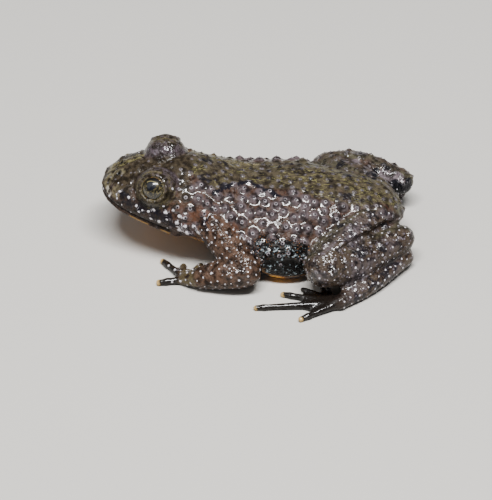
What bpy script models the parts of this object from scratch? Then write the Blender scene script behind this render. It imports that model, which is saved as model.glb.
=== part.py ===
# A fire-bellied toad at rest, life size: belly down, limbs folded under it, head raised.
# It faces -Y, its left side is +X, and it sits on Z = 0. Lengths are named in millimetres.

import math
import random

import bmesh
import bpy
import numpy as np
from mathutils import Matrix, Vector
from mathutils.bvhtree import BVHTree

mm = 0.001

# Clearance between the pieces, and the fineness and smoothing of the soft forms
gap = 0.3
fineness = 0.25
digit_fineness = 0.17
head_smoothing = 5
limb_smoothing = 6
digit_smoothing = 3
seed = 27

# Trunk from snout to vent. Each station is: place along Y, half width, height of the widest
# line, top, bottom, and how full the section is below its widest line
trunk_stations = (
    (-22.1, 1.2, 10.0, 10.4, 9.2, 2.0),
    (-21.7, 2.5, 9.9, 10.9, 8.5, 2.0),
    (-20.9, 3.8, 9.9, 11.6, 7.8, 2.0),
    (-19.3, 5.2, 9.7, 12.5, 7.0, 2.0),
    (-17.0, 6.3, 9.4, 13.3, 6.3, 2.0),
    (-14.2, 7.1, 8.9, 13.2, 5.6, 2.1),
    (-11.0, 7.7, 8.2, 14.2, 4.8, 2.2),
    (-7.5, 7.9, 7.1, 13.7, 3.8, 2.4),
    (-4.0, 8.5, 6.0, 12.5, 2.5, 2.7),
    (-0.5, 9.8, 4.6, 11.6, 1.0, 3.0),
    (3.5, 11.0, 3.3, 11.4, -0.2, 3.2),
    (7.5, 10.9, 3.0, 11.6, -0.4, 3.2),
    (11.0, 9.0, 3.6, 11.4, -0.1, 3.2),
    (14.5, 7.2, 4.5, 11.1, 0.9, 3.0),
    (17.7, 5.9, 5.3, 10.5, 2.2, 2.8),
    (20.3, 4.6, 6.0, 9.6, 3.4, 2.5),
    (22.0, 3.1, 6.4, 8.5, 4.2, 2.2),
    (22.9, 1.6, 6.0, 7.4, 4.5, 2.0),
    (23.3, 0.7, 5.6, 6.2, 5.0, 2.0),
)
back_fullness = 2.15
neck_place = -8.9

# Head: turned a little to the toad's right about the neck
head_turn = math.radians(-6)
neck_pivot = (0.0, -8.0, 0.0)
eye_radius = 2.2
eye_place = (4.8, -13.5, 12.8)
eye_gaze = (0.80, -0.12, 0.58)
eye_mound_radius = 3.35
eye_mound_depth = 1.05
brow_radius = 2.3
brow_places = ((-0.9, -1.8, -1.5), (-0.7, 1.7, -1.5))
eye_opening = math.radians(53)
lid_radius = 0.38
lid_reach = 2.45
lid_balls = 28
nostril_place = (-19.9, 11.4)
nostril_bump_radius = 0.6
nostril_bump_inset = 0.86
nostril_radius = 0.3
nostril_offset = (0.45, -0.2, 0.15)
mouth_line = ((-22.05, 9.8), (-21.4, 9.6), (-19.6, 9.1), (-16.6, 8.4), (-12.9, 7.4), (-9.9, 6.7))
lip_radius = 0.42
lip_rise = 0.48
lip_inset = 0.2
mouth_radius = 0.2
mouth_out = 0.05
mouth_sides = 5

# Limbs: the places of the joints and of the finger and toe tips, for the left and right side
limb_places = {
    "left": {
        "shoulder": (6.8, -5.3, 7.8),
        "elbow": (11.9, 0.0, 3.6),
        "wrist": (11.6, -7.4, 1.7),
        "palm": (10.9, -9.2, 0.9),
        "fingers": ((7.3, -7.2), (7.5, -9.8), (6.5, -12.9), (11.4, -13.2)),
        "hip": (2.6, 18.4, 6.2),
        "knee": (12.3, 11.6, 4.9),
        "heel": (4.8, 23.0, 4.7),
        "shank_sag": 0.9,
        "ankle": (5.7, 23.4, 1.8),
        "ball": (15.6, 13.8, 1.0),
        "toes": ((11.8, 11.2), (12.2, 8.3), (13.4, 5.4), (16.6, 1.5), (18.9, 8.2)),
    },
    "right": {
        "shoulder": (-6.4, -5.3, 7.4),
        "elbow": (-10.0, 0.6, 3.4),
        "wrist": (-9.9, -7.6, 1.7),
        "palm": (-9.5, -9.5, 0.9),
        "fingers": ((-6.1, -8.0), (-6.3, -10.7), (-7.2, -13.9), (-11.2, -13.8)),
        "hip": (-2.6, 18.4, 6.2),
        "knee": (-10.8, 12.0, 4.8),
        "heel": (-8.6, 22.9, 4.8),
        "shank_sag": -0.7,
        "ankle": (-10.3, 22.4, 1.8),
        "ball": (-14.6, 13.6, 1.0),
        "toes": ((-11.2, 11.4), (-11.4, 8.4), (-12.2, 5.6), (-14.9, 2.0), (-16.3, 8.4)),
    },
}
upper_arm_radii = (2.7, 2.6, 2.3)
forearm_radii = (2.4, 2.5, 1.7)
palm_radii = (1.5, 1.15)
finger_radii = (0.72, 0.58, 0.58)
finger_start = 0.12
thigh_radii = (3.7, 3.9, 3.3)
shank_radii = (3.2, 3.3, 2.1)
tarsus_radii = (1.6, 1.5, 1.25)
tarsus_bow = 0.4
toe_radii = (0.75, 0.58, 0.52)
toe_start = 0.06
digit_height = 0.42
digit_arch = 0.22
web_reach = 0.45
web_radius = 0.34
web_steps = 7

# Triangles that each node keeps before its warts
triangles = {
    "head": 3200,
    "torso": 2000,
    "upper_arm": 260,
    "forearm": 340,
    "hand": 760,
    "thigh": 380,
    "shank": 420,
    "foot": 1100,
}

# Warts: how many on each node and the lowest that they grow
warts = {
    "head": (14, 11.0),
    "torso": (80, 4.5),
    "shank": (8, 3.0),
    "thigh": (5, 3.0),
    "forearm": (4, 2.0),
}
wart_radius = (0.55, 0.85)
wart_tip = 0.35
wart_height = 0.4
wart_root = 0.7
wart_spacing = 2.3
wart_sides = 6
wart_slope = 0.3

# Colours of the parts, linear
skin_brown = (0.055, 0.040, 0.028, 1.0)
limb_brown = (0.075, 0.050, 0.034, 1.0)
toe_black = (0.020, 0.018, 0.020, 1.0)
iris_bronze = (0.25, 0.17, 0.06, 1.0)


def at(x, y, z):
    return Vector((x, y, z)) * mm


def collection_named(name):
    made = bpy.data.collections.new(name)
    bpy.context.scene.collection.children.link(made)
    return made


def add_object(name, mesh, collection):
    made = bpy.data.objects.new(name, mesh)
    collection.objects.link(made)
    return made


def mesh_of(bm, name):
    mesh = bpy.data.meshes.new(name)
    bm.to_mesh(mesh)
    bm.free()
    return mesh


def through(points, count):
    # Steps along a smooth curve that passes through the given points
    known = np.array(points, float)
    known = np.vstack([2 * known[0] - known[1], known, 2 * known[-1] - known[-2]])
    steps = []
    for place in np.linspace(0, len(points) - 1.000001, count):
        first = int(place)
        part = place - first
        a, b, c, d = known[first : first + 4]
        bend = 2 * a - 5 * b + 4 * c - d + part * (3 * (b - c) + d - a)
        steps.append(b + 0.5 * part * (c - a + part * bend))
    return np.array(steps)


trunk_rows = through(trunk_stations, 240)


def trunk_at(place):
    return [place] + [np.interp(place, trunk_rows[:, 0], trunk_rows[:, k]) for k in range(1, 6)]


def section_point(row, angle):
    # A point of the trunk's section, counted round from the left side over the back
    place, width, middle, top, bottom, belly_fullness = row
    across = math.cos(angle)
    up = math.sin(angle)
    fullness = back_fullness if up > 0 else belly_fullness
    rise = top - middle if up > 0 else middle - bottom
    x = math.copysign(abs(across) ** (2 / fullness), across) * width
    z = middle + math.copysign(abs(up) ** (2 / fullness), up) * rise
    return at(x, place, z)


def trunk_side(place, height):
    # Half width of the trunk at a height
    place, width, middle, top, bottom, belly_fullness = trunk_at(place)
    fullness = back_fullness if height > middle else belly_fullness
    rise = top - middle if height > middle else middle - bottom
    share = min(abs(height - middle) / rise, 1.0)
    return width * (1 - share**fullness) ** (1 / fullness)


def turned(point):
    # The head's turn, easing in across the neck
    part = min(max((-5.5 * mm - point[1]) / (5.5 * mm), 0.0), 1.0)
    angle = head_turn * part * part * (3 - 2 * part)
    pivot = at(*neck_pivot)
    return Matrix.Rotation(angle, 3, "Z") @ (Vector(point) - pivot) + pivot


def loft_trunk(bm, start, end, rows, around):
    rings = []
    for place in through([(start,), ((start + end) / 2,), (end,)], rows)[:, 0]:
        row = trunk_at(place)
        ring = [bm.verts.new(section_point(row, math.tau * k / around)) for k in range(around)]
        rings.append(ring)
    for one, two in zip(rings, rings[1:]):
        for k in range(around):
            bm.faces.new((one[k], one[k - 1], two[k - 1], two[k]))
    bm.faces.new(rings[0])
    bm.faces.new(rings[-1][::-1])
    bmesh.ops.recalc_face_normals(bm, faces=bm.faces)


def ball(bm, centre, radius):
    place = Matrix.Translation(centre)
    bmesh.ops.create_icosphere(bm, subdivisions=2, radius=radius * mm, matrix=place)


def muscle(bm, places, radii):
    # Balls set closely along a smooth route, so that they fuse into a rounded, tapering limb
    route = [(*place, radius) for place, radius in zip(places, radii)]
    length = sum((Vector(a[:3]) - Vector(b[:3])).length for a, b in zip(route, route[1:]))
    count = max(int(length / (0.3 * min(radii))), 4)
    for step in through(route, count):
        ball(bm, at(*step[:3]), step[3])


def evaluated_mesh(made):
    graph = bpy.context.evaluated_depsgraph_get()
    mesh = bpy.data.meshes.new_from_object(made.evaluated_get(graph))
    made.modifiers.clear()
    made.data = mesh


def fuse(bm, name, smoothing, keep, step=fineness):
    # One closed skin round overlapping forms, smoothed and thinned to a number of triangles
    made = add_object(name, mesh_of(bm, name), parts)
    remesh = made.modifiers.new("Fuse", "REMESH")
    remesh.mode = "VOXEL"
    remesh.voxel_size = step * mm
    soften = made.modifiers.new("Soften", "SMOOTH")
    soften.factor = 0.5
    soften.iterations = smoothing
    evaluated_mesh(made)
    thin = made.modifiers.new("Thin", "DECIMATE")
    thin.ratio = keep / (2 * len(made.data.polygons))
    thin.use_collapse_triangulate = True
    evaluated_mesh(made)
    return made


def keep_largest(made):
    # Drops loose scraps and fills sealed hollows: only the largest closed surface stays
    bm = bmesh.new()
    bm.from_mesh(made.data)
    left = set(bm.faces)
    bodies = []
    while left:
        body = {left.pop()}
        edge = list(body)
        while edge:
            face = edge.pop()
            for near in {other for e in face.edges for other in e.link_faces} & left:
                left.discard(near)
                body.add(near)
                edge.append(near)
        bodies.append(body)
    largest = max(bodies, key=lambda body: sum(face.calc_area() for face in body))
    bmesh.ops.delete(bm, geom=[f for f in bm.faces if f not in largest], context="FACES")
    bmesh.ops.dissolve_degenerate(bm, dist=0.01 * mm, edges=bm.edges)
    bmesh.ops.triangulate(bm, faces=bm.faces)
    bm.to_mesh(made.data)
    bm.free()


def boolean(made, operation, others):
    # Joins or cuts with a collection of closed meshes, which is then removed
    tools = collection_named("tools")
    for other in others:
        tools.objects.link(other)
    change = made.modifiers.new("Change", "BOOLEAN")
    change.operation = operation
    change.operand_type = "COLLECTION"
    change.collection = tools
    evaluated_mesh(made)
    for other in others:
        bpy.data.objects.remove(other)
    bpy.data.collections.remove(tools)
    keep_largest(made)


def cutter(name, bm):
    made = add_object(name, mesh_of(bm, name), cutters)
    made.hide_render = True
    made.display_type = "WIRE"
    return made


def half_space(point, normal):
    # A large block whose face passes through the point and which fills the side of the normal
    size = 120 * mm
    normal = Vector(normal).normalized()
    turn = normal.to_track_quat("Z", "Y").to_matrix().to_4x4()
    matrix = Matrix.Translation(Vector(point) + normal * size / 2) @ turn
    bm = bmesh.new()
    bmesh.ops.create_cube(bm, size=size, matrix=matrix)
    return cutter("half_space", bm)


def tube_along(name, line, radius, sides):
    # A closed tube with flat ends along a line of points
    bm = bmesh.new()
    rings = []
    for k, point in enumerate(line):
        along = (line[min(k + 1, len(line) - 1)] - line[max(k - 1, 0)]).normalized()
        turn = along.to_track_quat("Z", "Y").to_matrix()
        ring = []
        for j in range(sides):
            angle = math.tau * j / sides
            offset = turn @ Vector((math.cos(angle), math.sin(angle), 0))
            ring.append(bm.verts.new(point + offset * radius * mm))
        rings.append(ring)
    for one, two in zip(rings, rings[1:]):
        for j in range(sides):
            bm.faces.new((one[j], one[j - 1], two[j - 1], two[j]))
    bm.faces.new(rings[0])
    bm.faces.new(rings[-1][::-1])
    bmesh.ops.recalc_face_normals(bm, faces=bm.faces)
    return cutter(name, bm)


def grown_copy(made):
    # The part's form with the clearance added all round
    bm = bmesh.new()
    bm.from_mesh(made.data)
    bm.normal_update()
    moves = [vertex.normal * gap * mm for vertex in bm.verts]
    for vertex, move in zip(bm.verts, moves):
        vertex.co += move
    return cutter(made.name + "_grown", bm)


def part_at(joint, one, two):
    # The flat parting between two limb parts that meet at a joint: the plane that halves its angle
    joint = at(*joint)
    normal = (at(*one) - joint).normalized() - (at(*two) - joint).normalized()
    normal.normalize()
    inset = normal * gap * mm / 2
    return half_space(joint + inset, -normal), half_space(joint - inset, normal)


def stand_on_floor(made):
    boolean(made, "DIFFERENCE", [half_space((0, 0, 0), (0, 0, -1))])


def mouth_route(side, drop=0.0, out=0.0):
    route = []
    for place, height in through(mouth_line, 26):
        x = trunk_side(place, height) + out
        route.append((side * x, place, height + drop))
    return route


def both_sides(route_of):
    # One route round the snout, from the left corner of the mouth to the right one
    return route_of(1)[::-1] + route_of(-1)[1:]


def build_head():
    bm = bmesh.new()
    loft_trunk(bm, trunk_stations[0][0], -3.0, 60, 40)
    gaze = Vector(eye_gaze).normalized()
    for side in (1, -1):
        mirror = Vector((side, 1, 1))
        look = gaze * mirror
        centre = at(*eye_place) * mirror
        ball(bm, centre - look * eye_mound_depth * mm, eye_mound_radius)
        for place in brow_places:
            ball(bm, centre + at(*place) * mirror, brow_radius)
        turn = Matrix.Translation(centre) @ look.to_track_quat("Z", "Y").to_matrix().to_4x4()
        for k in range(lid_balls):
            angle = math.tau * k / lid_balls
            round_eye = Vector((math.cos(angle), math.sin(angle), 0)) * math.sin(eye_opening)
            round_eye.z = math.cos(eye_opening)
            ball(bm, turn @ (round_eye * lid_reach * mm), lid_radius)
        place, height = nostril_place
        x = trunk_side(place, height) * side
        ball(bm, at(x * nostril_bump_inset, place, height), nostril_bump_radius)
    for drop in (lip_rise, -lip_rise):
        lip = both_sides(lambda side: mouth_route(side, drop, -lip_inset))
        muscle(bm, lip, [lip_radius] * len(lip))
    made = fuse(bm, "head", head_smoothing, triangles["head"])

    tools = []
    for side in (1, -1):
        mirror = Vector((side, 1, 1))
        bm = bmesh.new()
        place = Matrix.Translation(at(*eye_place) * mirror)
        radius = (eye_radius + gap) * mm
        bmesh.ops.create_uvsphere(bm, u_segments=24, v_segments=14, radius=radius, matrix=place)
        tools.append(cutter("socket", bm))
        bm = bmesh.new()
        nostril = at(trunk_side(*nostril_place), *nostril_place) + at(*nostril_offset)
        ball(bm, nostril * mirror, nostril_radius)
        tools.append(cutter("nostril", bm))
    boolean(made, "DIFFERENCE", tools)

    line = [at(*point) for point in both_sides(lambda side: mouth_route(side, 0.0, mouth_out))]
    boolean(made, "DIFFERENCE", [tube_along("slit", line, mouth_radius, mouth_sides)])
    for vertex in made.data.vertices:
        vertex.co = turned(vertex.co)
    boolean(made, "DIFFERENCE", [half_space(at(0, neck_place - gap / 2, 0), (0, 1, 0))])
    return made


def build_torso():
    bm = bmesh.new()
    loft_trunk(bm, neck_place - 2.5, trunk_stations[-1][0], 36, 30)
    for vertex in bm.verts:
        vertex.co = turned(vertex.co)
    made = add_object("torso", mesh_of(bm, "torso"), parts)
    boolean(made, "DIFFERENCE", [half_space(at(0, neck_place + gap / 2, 0), (0, -1, 0))])
    stand_on_floor(made)
    return made


def build_eye(side, name):
    gaze = Vector(eye_gaze).normalized() * Vector((side, 1, 1))
    place = turned(at(*eye_place) * Vector((side, 1, 1)))
    gaze.rotate(Matrix.Rotation(head_turn, 3, "Z"))
    turn = gaze.to_track_quat("Z", "Y").to_matrix().to_4x4()
    bm = bmesh.new()
    bmesh.ops.create_uvsphere(bm, u_segments=18, v_segments=10, radius=eye_radius * mm)
    mesh = mesh_of(bm, name)
    mesh.transform(Matrix.Translation(place) @ turn)
    return add_object(name, mesh, parts)


def digits(bm, root, tips, radii, spread):
    # Fingers or toes fanned from a palm, each arched a little over its middle joint
    routes = []
    root = Vector(root)
    for k, tip in enumerate(tips):
        tip = Vector((*tip, digit_height))
        start = root.lerp(tip, spread)
        start.z = root.z * 0.8
        middle = start.lerp(tip, 0.55)
        middle.z = digit_height + digit_arch
        muscle(bm, (start, middle, tip), radii)
        routes.append((start, tip))
    return routes


def web(bm, routes):
    for (start_a, tip_a), (start_b, tip_b) in zip(routes, routes[1:]):
        for row in np.linspace(0.0, 1.0, web_steps):
            one = start_a.lerp(tip_a, row * web_reach)
            two = start_b.lerp(tip_b, row * web_reach)
            for part in np.linspace(0.0, 1.0, web_steps):
                point = one.lerp(two, part)
                point.z = digit_height * 0.8
                ball(bm, at(*point), web_radius)


def build_arm(side):
    places = limb_places[side]
    shoulder, elbow, wrist, palm = [places[k] for k in ("shoulder", "elbow", "wrist", "palm")]

    bm = bmesh.new()
    middle = Vector(shoulder).lerp(Vector(elbow), 0.5)
    muscle(bm, (shoulder, middle, elbow), upper_arm_radii)
    upper_arm = fuse(bm, "upper_arm_" + side, limb_smoothing, triangles["upper_arm"])

    bm = bmesh.new()
    middle = Vector(elbow).lerp(Vector(wrist), 0.35)
    muscle(bm, (elbow, middle, wrist), forearm_radii)
    forearm = fuse(bm, "forearm_" + side, limb_smoothing, triangles["forearm"])

    bm = bmesh.new()
    muscle(bm, (wrist, palm), palm_radii)
    digits(bm, palm, places["fingers"], finger_radii, finger_start)
    hand = fuse(bm, "hand_" + side, digit_smoothing, triangles["hand"], digit_fineness)

    beyond_elbow, before_elbow = part_at(elbow, shoulder, wrist)
    boolean(upper_arm, "DIFFERENCE", [beyond_elbow, grown_copy(torso), grown_copy(head)])
    beyond_wrist, before_wrist = part_at(wrist, elbow, palm)
    boolean(forearm, "DIFFERENCE", [before_elbow, beyond_wrist, grown_copy(torso)])
    boolean(hand, "DIFFERENCE", [before_wrist, grown_copy(torso)])
    stand_on_floor(hand)
    stand_on_floor(forearm)
    return upper_arm, forearm, hand


def build_leg(side):
    places = limb_places[side]
    hip, knee, heel, ankle, sole = [places[k] for k in ("hip", "knee", "heel", "ankle", "ball")]

    bm = bmesh.new()
    middle = Vector(hip).lerp(Vector(knee), 0.5)
    muscle(bm, (hip, middle, knee), thigh_radii)
    thigh = fuse(bm, "thigh_" + side, limb_smoothing, triangles["thigh"])

    bm = bmesh.new()
    middle = Vector(knee).lerp(Vector(heel), 0.4)
    middle.z -= places["shank_sag"]
    muscle(bm, (knee, middle, heel), shank_radii)
    shank = fuse(bm, "shank_" + side, limb_smoothing, triangles["shank"])

    bm = bmesh.new()
    middle = Vector(ankle).lerp(Vector(sole), 0.55)
    middle += Vector((math.copysign(tarsus_bow, middle.x), tarsus_bow, 0))
    muscle(bm, (ankle, middle, sole), tarsus_radii)
    web(bm, digits(bm, sole, places["toes"], toe_radii, toe_start))
    foot = fuse(bm, "foot_" + side, digit_smoothing, triangles["foot"], digit_fineness)

    beyond_knee, before_knee = part_at(knee, hip, heel)
    boolean(thigh, "DIFFERENCE", [beyond_knee, grown_copy(torso)])
    boolean(shank, "DIFFERENCE", [before_knee, grown_copy(torso)])
    boolean(foot, "DIFFERENCE", [grown_copy(part) for part in (torso, thigh, shank)])
    stand_on_floor(foot)
    stand_on_floor(shank)
    return thigh, shank, foot


def add_warts(made, count, lowest, others):
    # Blunt spiny cones on the upper side, rooted in the skin and clear of the neighbours
    draw = random.Random(seed + len(made.name))
    trees = []
    for other in others:
        places = [vertex.co for vertex in other.data.vertices]
        trees.append(BVHTree.FromPolygons(places, [tuple(f.vertices) for f in other.data.polygons]))
    upper = [face for face in made.data.polygons if face.normal.z > wart_slope]
    faces = [face for face in upper if face.center.z > lowest * mm]
    areas = [face.area for face in faces]
    placed = []
    tools = []
    middle = (wart_height - wart_root) / 2 * mm
    for face in draw.choices(faces, areas, k=count * 30):
        if len(placed) == count:
            break
        radius = draw.uniform(*wart_radius)
        centre = Vector(face.center)
        tip = centre + face.normal * wart_height * mm
        if any((centre - other).length < wart_spacing * mm for other in placed):
            continue
        if any(tree.find_nearest(tip)[3] < 2 * wart_radius[1] * mm for tree in trees):
            continue
        placed.append(centre)
        turn = face.normal.to_track_quat("Z", "Y").to_matrix().to_4x4()
        bm = bmesh.new()
        bmesh.ops.create_cone(
            bm,
            cap_ends=True,
            segments=wart_sides,
            radius1=radius * mm,
            radius2=radius * wart_tip * mm,
            depth=(wart_height + wart_root) * mm,
            matrix=Matrix.Translation(centre + face.normal * middle) @ turn,
        )
        tools.append(cutter("wart", bm))
    if tools:
        boolean(made, "UNION", tools)


def give_material(made, name, colour, roughness):
    material = bpy.data.materials.new(name)
    material.use_nodes = True
    shader = material.node_tree.nodes["Principled BSDF"]
    shader.inputs["Base Color"].default_value = colour
    shader.inputs["Roughness"].default_value = roughness
    made.data.materials.clear()
    made.data.materials.append(material)


for stale in list(bpy.data.objects):
    bpy.data.objects.remove(stale)
parts = collection_named("fire_bellied_toad")
cutters = collection_named("cutters")

head = build_head()
torso = build_torso()
build_eye(1, "eye_left")
build_eye(-1, "eye_right")
for side in ("left", "right"):
    build_arm(side)
    build_leg(side)

for made in list(parts.objects):
    kind = made.name.removesuffix("_left").removesuffix("_right")
    if warts.get(kind):
        add_warts(made, *warts[kind], [other for other in parts.objects if other != made])
    colour = iris_bronze if kind == "eye" else limb_brown
    if kind in ("head", "torso"):
        colour = skin_brown
    if kind in ("hand", "foot"):
        colour = toe_black
    give_material(made, made.name + "_skin", colour, 0.25)
    made.data.shade_smooth()

corners = [vertex.co for made in parts.objects for vertex in made.data.vertices]
middle = Vector((0, 0, 0))
for axis in (0, 1):
    along = [corner[axis] for corner in corners]
    middle[axis] = (min(along) + max(along)) / 2
for made in parts.objects:
    made.data.transform(Matrix.Translation(-middle))
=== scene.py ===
# Dresses the fire-bellied toad: one wet warty skin, horny spines, two eyes, a floor, light and a camera
import math

import bmesh
import bpy
import numpy as np
from mathutils import Matrix, Vector
from mathutils.bvhtree import BVHTree
from mathutils.kdtree import KDTree


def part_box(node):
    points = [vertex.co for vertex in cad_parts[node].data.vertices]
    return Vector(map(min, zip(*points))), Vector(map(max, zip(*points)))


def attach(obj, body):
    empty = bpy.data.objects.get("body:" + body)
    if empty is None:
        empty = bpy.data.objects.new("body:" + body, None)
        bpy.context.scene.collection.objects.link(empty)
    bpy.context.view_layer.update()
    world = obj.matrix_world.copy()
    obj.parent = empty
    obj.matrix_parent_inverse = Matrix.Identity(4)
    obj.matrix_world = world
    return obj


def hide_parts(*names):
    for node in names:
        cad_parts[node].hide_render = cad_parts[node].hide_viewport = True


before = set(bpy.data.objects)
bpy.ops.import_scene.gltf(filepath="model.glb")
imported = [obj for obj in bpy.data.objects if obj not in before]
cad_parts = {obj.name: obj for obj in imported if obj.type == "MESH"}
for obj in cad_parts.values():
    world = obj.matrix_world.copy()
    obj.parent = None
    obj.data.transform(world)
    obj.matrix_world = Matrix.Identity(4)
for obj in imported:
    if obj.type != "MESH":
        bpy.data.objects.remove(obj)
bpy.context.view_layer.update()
print("frame loaded")

mm = 0.001
rng = np.random.default_rng(27)

# The toad's own lines in the frame, in mm: its midline, and the floor point that aimPixel shows
toad = {
    "middle": -1.325,
    "aim": (-1.325, -1.313, 0.0),
    "neck": -9.313,
    "headTurn": -6.0,
    "socket": (0.80, -0.12, 0.58),
    "gaze": (0.672, -0.158, 0.723),
    "eyeRadius": 2.2,
}


def linear(code):
    # A colour written as sRGB hex, turned to the linear values that shaders use
    values = [int(code[k : k + 2], 16) / 255 for k in (1, 3, 5)]
    return tuple(v / 12.92 if v < 0.04045 else ((v + 0.055) / 1.055) ** 2.4 for v in values) + (1.0,)


def addNode(tree, kind, settings=None, links=None):
    # Adds a node with its own properties, its sockets' values and its links
    node = tree.nodes.new("ShaderNode" + kind)
    for name, value in (settings or {}).items():
        if isinstance(name, str) and hasattr(node, name):
            setattr(node, name, value)
        else:
            node.inputs[name].default_value = value
    for name, output in (links or {}).items():
        tree.links.new(output, node.inputs[name])
    return node


def startMaterial(name):
    material = bpy.data.materials.new(name)
    material.use_nodes = True
    return material, material.node_tree, material.node_tree.nodes["Principled BSDF"]


def addPiece(name, mesh, material):
    piece = bpy.data.objects.new(name, mesh)
    bpy.context.scene.collection.objects.link(piece)
    mesh.materials.clear()
    mesh.materials.append(material)
    return piece


def meshFrom(bm, name):
    mesh = bpy.data.meshes.new(name)
    bm.to_mesh(mesh)
    bm.free()
    return mesh


def ease(values, low, high):
    # 0 below low, 1 above high, and a smooth step between them
    part = np.clip((values - low) / (high - low), 0.0, 1.0)
    return part * part * (3 - 2 * part)


def bell(values, width):
    # 1 at 0, falling smoothly to both sides
    return np.exp(-((values / width) ** 2))


def towards(azimuth, elevation):
    # The way from the toad to a camera or lamp. Azimuth 0 is in front of it, 90 on its left
    a = math.radians(azimuth)
    e = math.radians(elevation)
    return Vector((math.sin(a) * math.cos(e), -math.cos(a) * math.cos(e), math.sin(e)))


def searchOf(places):
    search = KDTree(len(places))
    for k, place in enumerate(places):
        search.insert(place, k)
    search.balance()
    return search


def plainName(name):
    # A node's name without its side
    return name.removesuffix("_left").removesuffix("_right")


# Camera: a long lens from the toad's left, looking down
cameraSettings = {
    "azimuth": 92.0,
    "elevation": 40.0,
    "pixelsPerMm": 6.54,
    "aimPixel": (250, 238),
    "picture": (492, 500),
    "distance": 450.0,
    "sensor": 36.0,
    "clip": (0.01, 20),
}


def makeCamera():
    s = cameraSettings
    wide, high = s["picture"]
    azimuth = math.radians(s["azimuth"])
    back = towards(s["azimuth"], s["elevation"])
    right = Vector((math.cos(azimuth), math.sin(azimuth), 0))
    data = bpy.data.cameras.new("photoCamera")
    data.sensor_fit = "HORIZONTAL"
    data.sensor_width = s["sensor"]
    data.lens = s["sensor"] * s["distance"] * s["pixelsPerMm"] / wide
    data.shift_x = (wide / 2 - s["aimPixel"][0]) / wide
    data.shift_y = (s["aimPixel"][1] - high / 2) / wide
    data.clip_start, data.clip_end = s["clip"]
    camera = bpy.data.objects.new("photoCamera", data)
    turn = Matrix((right, back.cross(right), back)).transposed().to_4x4()
    camera.matrix_world = Matrix.Translation((Vector(toad["aim"]) + back * s["distance"]) * mm) @ turn
    bpy.context.scene.collection.objects.link(camera)
    bpy.context.scene.camera = camera
    return camera


def pointSeen(camera, tree, pixel):
    # The point of the skin, in mm, that a pixel of the picture shows
    wide, high = cameraSettings["picture"]
    data = camera.data
    x = (pixel[0] - wide / 2) / wide + data.shift_x
    y = (high / 2 - pixel[1]) / wide + data.shift_y
    ray = camera.matrix_world.to_3x3() @ Vector((x * data.sensor_width, y * data.sensor_width, -data.lens))
    ray.normalize()
    start = camera.matrix_world.translation / mm
    hit = tree.ray_cast(start, ray)[0]
    if hit is None:
        # Just past the outline: the skin's nearest point to the ray
        steps = np.linspace(-25, 25, 60) + cameraSettings["distance"]
        hit = min((tree.find_nearest(start + ray * step) for step in steps), key=lambda found: found[3])[0]
    return hit


camera = makeCamera()
bpy.context.view_layer.update()
print("camera placed")

# Skin: the flesh nodes swollen until they touch, fused, smoothed and drawn back
skinSettings = {
    "swell": 0.22,
    "grain": 0.235,
    "smoothing": 4,
    "plainSmoothing": 30,
    "spineStands": 0.17,
    "spineSlope": 0.2,
    "spineReach": 0.6,
    "spinePoints": 4,
    "spineLowest": {"head": 11.0, "torso": 4.5, "thigh": 3.0, "shank": 3.0, "forearm": 2.0},
    "lumpReach": 1.1,
    "lumpSmoothing": 20,
}
fleshNodes = [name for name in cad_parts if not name.startswith("eye")]


def flesh(names):
    bm = bmesh.new()
    for name in names:
        bm.from_mesh(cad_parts[name].data)
    bmesh.ops.remove_doubles(bm, verts=bm.verts, dist=0.001 * mm)
    return bm


def fusedSkin(smoothing):
    s = skinSettings
    body = bpy.data.objects.new("body", meshFrom(flesh(fleshNodes), "body"))
    bpy.context.scene.collection.objects.link(body)
    for kind, values in (
        ("DISPLACE", {"strength": s["swell"] * mm, "mid_level": 0.0}),
        ("REMESH", {"mode": "VOXEL", "voxel_size": s["grain"] * mm}),
        ("SMOOTH", {"factor": 0.5, "iterations": smoothing}),
        ("DISPLACE", {"strength": -s["swell"] * mm, "mid_level": 0.0}),
    ):
        modifier = body.modifiers.new(kind.title(), kind)
        for name, value in values.items():
            setattr(modifier, name, value)
    graph = bpy.context.evaluated_depsgraph_get()
    mesh = bpy.data.meshes.new_from_object(body.evaluated_get(graph))
    bpy.data.objects.remove(body)
    return mesh


def treeOf(mesh):
    # A mesh as a search tree, in mm
    places = [tuple(v.co / mm) for v in mesh.vertices]
    return BVHTree.FromPolygons(places, [tuple(f.vertices) for f in mesh.polygons])


def spineTips():
    # The solids' blunt spines mark where the largest warts grow: they stand out from a plain, smooth skin
    s = skinSettings
    tree = treeOf(fusedSkin(s["plainSmoothing"]))
    groups = []
    for name in fleshNodes:
        lowest = s["spineLowest"].get(plainName(name), math.inf)
        bm = flesh([name])
        for vertex in bm.verts:
            place = vertex.co / mm
            near, normal, face, away = tree.find_nearest(place)
            stands = (place - near).dot(normal)
            if place.z < lowest or normal.z < s["spineSlope"] or stands < s["spineStands"]:
                continue
            for group in groups:
                if (group[0] - place).length < s["spineReach"]:
                    group.append(place)
                    break
            else:
                groups.append([place])
        bm.free()
    return [sum(group, Vector()) / len(group) for group in groups if len(group) >= s["spinePoints"]]


def flattenLumps(mesh, tips):
    # Smooths away the coarse cones, so that finer warts can grow in their places
    s = skinSettings
    search = searchOf(tips)
    bm = bmesh.new()
    bm.from_mesh(mesh)
    lumps = [v for v in bm.verts if search.find(v.co / mm)[2] < s["lumpReach"]]
    for turn in range(s["lumpSmoothing"]):
        bmesh.ops.smooth_vert(
            bm, verts=lumps, factor=0.5, use_axis_x=True, use_axis_y=True, use_axis_z=True
        )
    bm.to_mesh(mesh)
    bm.free()


skinMesh = fusedSkin(skinSettings["smoothing"])
print("skin fused:", len(skinMesh.polygons), "faces")
tips = spineTips()
flattenLumps(skinMesh, tips)
print("largest warts:", len(tips))


def arrayOf(mesh, name, source):
    values = np.zeros(len(source) * 3)
    source.foreach_get(name, values)
    return values.reshape(-1, 3)


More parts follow.
